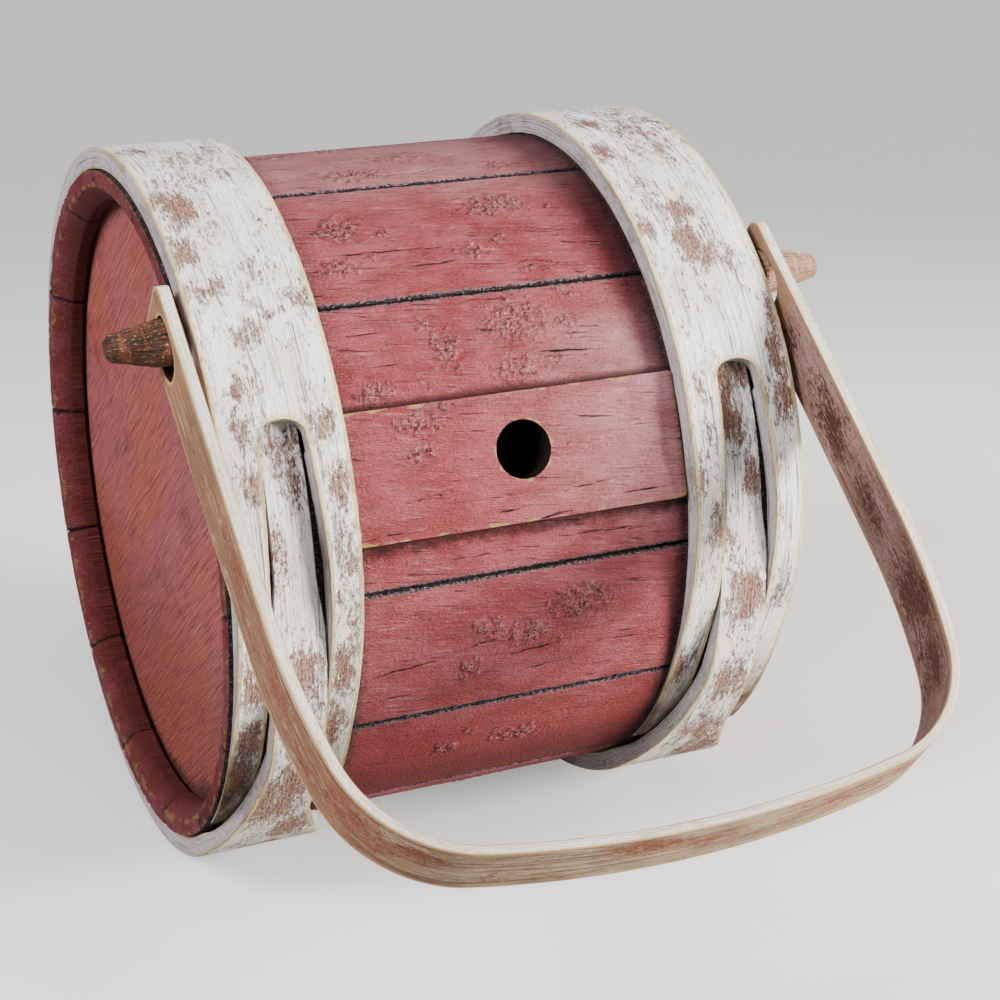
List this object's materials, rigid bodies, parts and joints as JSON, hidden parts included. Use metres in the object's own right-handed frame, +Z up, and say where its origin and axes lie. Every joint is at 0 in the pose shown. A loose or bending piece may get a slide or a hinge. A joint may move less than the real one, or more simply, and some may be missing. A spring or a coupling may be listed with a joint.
{
  "type": "wooden canteen",
  "caption": "Small staved keg canteen with lapped wooden hoops, a bung hole in a raised board, and a bent wooden bail that swings on pegs.",
  "frame": {"origin": "on the floor under the hoops, midway between the heads, and midway between the barrel's back and the bail's front", "axes": "+X along the barrel's axis towards the right head, +Y from the bail towards the barrel's back, +Z up"},
  "size_m": [0.2126, 0.3128, 0.2134],
  "materials": {
    "shell_paint": "faded brick-red paint over wood grain, worn through at the edges",
    "head_paint": "darker red-brown paint on a scratched board",
    "hoop_wash": "worn whitewash over bent wood, with red-brown patches",
    "bail_wash": "thin whitewash over bent brown wood",
    "dark_peg": "dark weathered wood",
    "pale_peg": "pale bare wood"
  },
  "bodies": {
    "barrel": {"stave_01": "shell_paint", "stave_02": "shell_paint", "stave_03": "shell_paint", "stave_04": "shell_paint", "stave_05": "shell_paint", "stave_06": "shell_paint", "stave_07": "shell_paint", "stave_08": "shell_paint", "stave_09": "shell_paint", "stave_10": "shell_paint", "stave_11": "shell_paint", "stave_12": "shell_paint", "bung_stave": "shell_paint", "bung_board": "shell_paint", "head_left": "head_paint", "head_right": "head_paint", "hoop_left": "hoop_wash", "hoop_right": "hoop_wash", "peg_left": "dark_peg", "peg_right": "pale_peg"},
    "bail": {"bail": "bail_wash"}
  },
  "joints": [
    {"name": "bail_swing", "type": "hinge", "parent": "barrel", "child": "bail", "pos_m": [0, -0.02013, 0.17702], "axis": [1, 0, 0], "range_deg": [-202, 36]}
  ]
}
